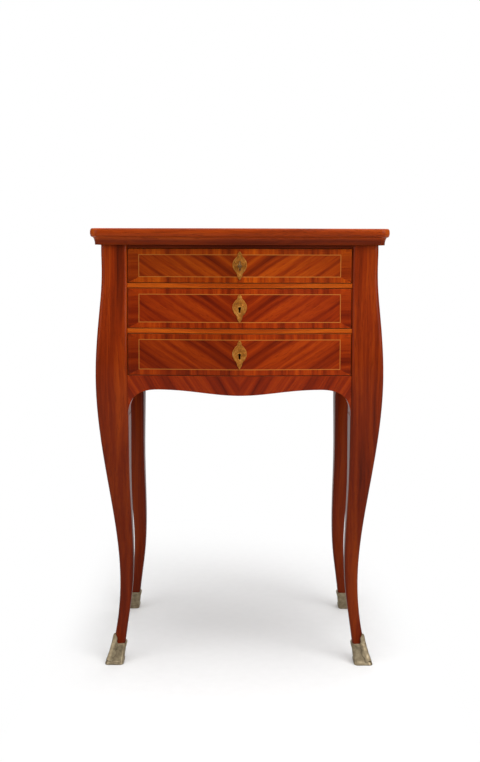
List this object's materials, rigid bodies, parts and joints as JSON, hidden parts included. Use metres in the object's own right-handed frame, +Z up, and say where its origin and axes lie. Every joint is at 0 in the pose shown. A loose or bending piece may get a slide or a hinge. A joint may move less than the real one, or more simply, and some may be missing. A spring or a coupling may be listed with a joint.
{
  "type": "chiffonier table",
  "caption": "Small wooden chiffonier table with a moulded top, bowed drawers one above another and curved legs in brass shoes.",
  "frame": {"origin": "on the floor, under the middle of the table's overall box", "axes": "+Z up, the drawers open towards -Y, +X to the right seen from the front"},
  "size_m": [0.465, 0.3481, 0.7],
  "materials": {
    "veneer": "polished red-brown veneer",
    "carcass": "plain sawn wood",
    "lining": "planed and waxed",
    "brass": "cast, dulled with age",
    "lock_brass": "plain sheet",
    "iron": "worn"
  },
  "bodies": {
    "case": {"leg_front_right": "veneer", "leg_front_left": "veneer", "leg_back_right": "veneer", "leg_back_left": "veneer", "sabot_front_right": "brass", "sabot_front_left": "brass", "sabot_back_right": "brass", "sabot_back_left": "brass", "sabot_pins": "brass", "top_board": "veneer", "top_moulding": "veneer", "side_right": "veneer", "side_left": "veneer", "back_panel": "carcass", "back_top_rail": "carcass", "back_bottom_rail": "carcass", "front_top_rail": "veneer", "drawer_rail_upper": "veneer", "drawer_rail_lower": "veneer", "drawer_rail_bottom": "lining", "front_apron": "veneer", "dust_board_1": "carcass", "dust_board_2": "carcass", "dust_board_3": "carcass", "runners_1": "carcass", "runners_2": "carcass", "runners_3": "carcass", "drawer_stops": "carcass", "glue_blocks": "carcass", "top_screws": "iron"},
    "drawer_1": {"drawer_1_front": "veneer", "drawer_1_side_right": "lining", "drawer_1_side_left": "lining", "drawer_1_back": "lining", "drawer_1_bottom": "lining", "drawer_1_lock": "lock_brass", "drawer_1_escutcheon": "brass", "drawer_1_fixings": "lock_brass"},
    "bolt_1": {"drawer_1_bolt": "iron"},
    "drawer_2": {"drawer_2_front": "veneer", "drawer_2_side_right": "lining", "drawer_2_side_left": "lining", "drawer_2_back": "lining", "drawer_2_bottom": "lining", "drawer_2_lock": "lock_brass", "drawer_2_escutcheon": "brass", "drawer_2_fixings": "lock_brass"},
    "bolt_2": {"drawer_2_bolt": "iron"},
    "drawer_3": {"drawer_3_front": "veneer", "drawer_3_side_right": "lining", "drawer_3_side_left": "lining", "drawer_3_back": "lining", "drawer_3_bottom": "lining", "drawer_3_lock": "lock_brass", "drawer_3_escutcheon": "brass", "drawer_3_fixings": "lock_brass"},
    "bolt_3": {"drawer_3_bolt": "iron"},
    "key": {"key": "iron"}
  },
  "joints": [
    {"name": "drawer_1_slide", "type": "slide", "parent": "case", "child": "drawer_1", "axis": [0, -1, 0], "range_m": [0, 0.18]},
    {"name": "drawer_2_slide", "type": "slide", "parent": "case", "child": "drawer_2", "axis": [0, -1, 0], "range_m": [0, 0.18]},
    {"name": "drawer_3_slide", "type": "slide", "parent": "case", "child": "drawer_3", "axis": [0, -1, 0], "range_m": [0, 0.18]},
    {"name": "bolt_1_throw", "type": "slide", "parent": "drawer_1", "child": "bolt_1", "axis": [0, 0, 1], "range_m": [0, 0.005]},
    {"name": "bolt_2_throw", "type": "slide", "parent": "drawer_2", "child": "bolt_2", "axis": [0, 0, 1], "range_m": [0, 0.005]},
    {"name": "bolt_3_throw", "type": "slide", "parent": "drawer_3", "child": "bolt_3", "axis": [0, 0, 1], "range_m": [0, 0.005]},
    {"name": "key_turn", "type": "hinge", "parent": "drawer_1", "child": "key", "pos_m": [0, -0.15, 0.643], "axis": [0, 1, 0], "range_deg": [0, 360]}
  ],
  "couplings": [
    {"joint": "key_turn", "follows": "bolt_1_throw", "rad_per_m": 1256.6}
  ]
}
